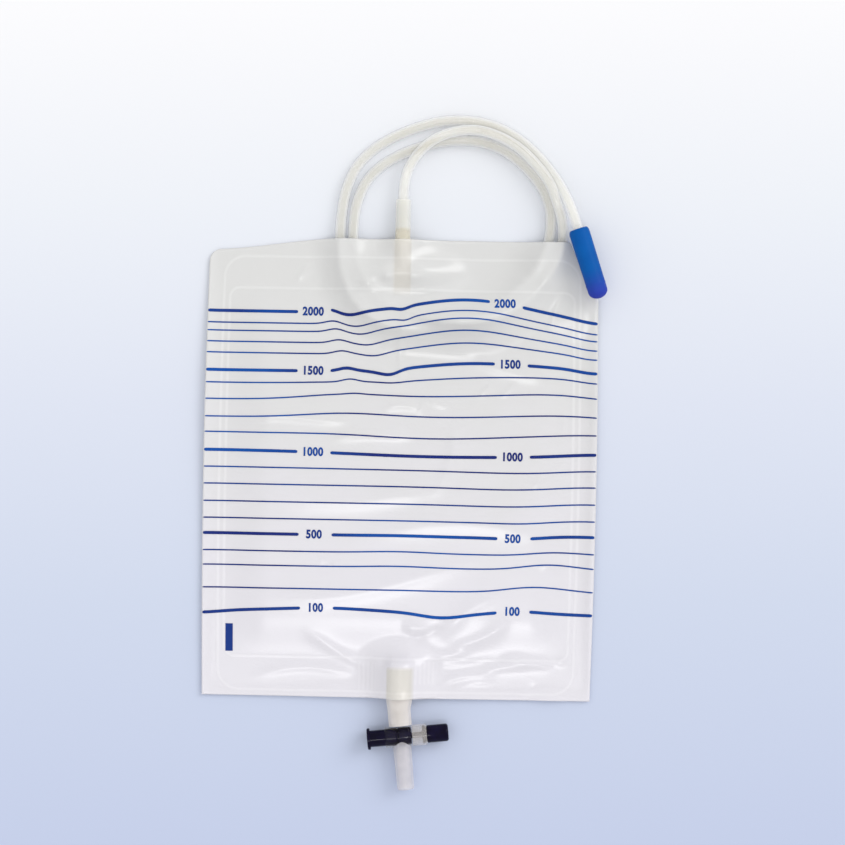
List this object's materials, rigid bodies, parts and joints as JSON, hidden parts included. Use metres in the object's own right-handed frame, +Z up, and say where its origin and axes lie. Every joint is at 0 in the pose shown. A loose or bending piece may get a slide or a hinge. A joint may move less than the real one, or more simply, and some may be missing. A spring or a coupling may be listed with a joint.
{
  "type": "urine drainage bag",
  "caption": "Flat clear-film bag for collecting urine from a catheter: coiled inlet tube with a capped connector, volume scale, and a push-pull drain valve at the bottom.",
  "frame": {"origin": "on the table under the middle of the bag and its drain valve, the free tube and its cap left out", "axes": "+Z up out of the bag's printed face, +Y towards the bag's top edge where the tube goes in, +X to the right as the scale is read"},
  "size_m": [0.2424, 0.4033, 0.0191],
  "materials": {
    "frosted_film": "frosted soft PVC film",
    "clear_film": "thin clear film",
    "clear_tube": "clear soft PVC, faintly warm",
    "clear_rigid_plastic": "clear rigid moulding",
    "blue_plastic": "satin blue moulding",
    "milky_tube": "soft milky PVC",
    "navy_plastic": "near-black navy moulding"
  },
  "bodies": {
    "bag": {"rear_sheet": "frosted_film", "front_sheet": "frosted_film", "inlet_sleeve": "clear_tube", "non_return_valve": "clear_film", "inlet_tube": "clear_tube", "catheter_connector": "clear_rigid_plastic", "outlet_tube": "milky_tube", "valve_body": "clear_rigid_plastic"},
    "plunger": {"valve_plunger": "navy_plastic"},
    "cap": {"connector_cap": "blue_plastic"}
  },
  "joints": [
    {"name": "plunger_slide", "type": "slide", "parent": "bag", "child": "plunger", "axis": [0.9962, 0.0872, 0], "range_m": [-0.0095, 0.0088]},
    {"name": "cap_pull", "type": "slide", "parent": "bag", "child": "cap", "axis": [0.3007, -0.9537, 0], "range_m": [0, 0.045]}
  ]
}
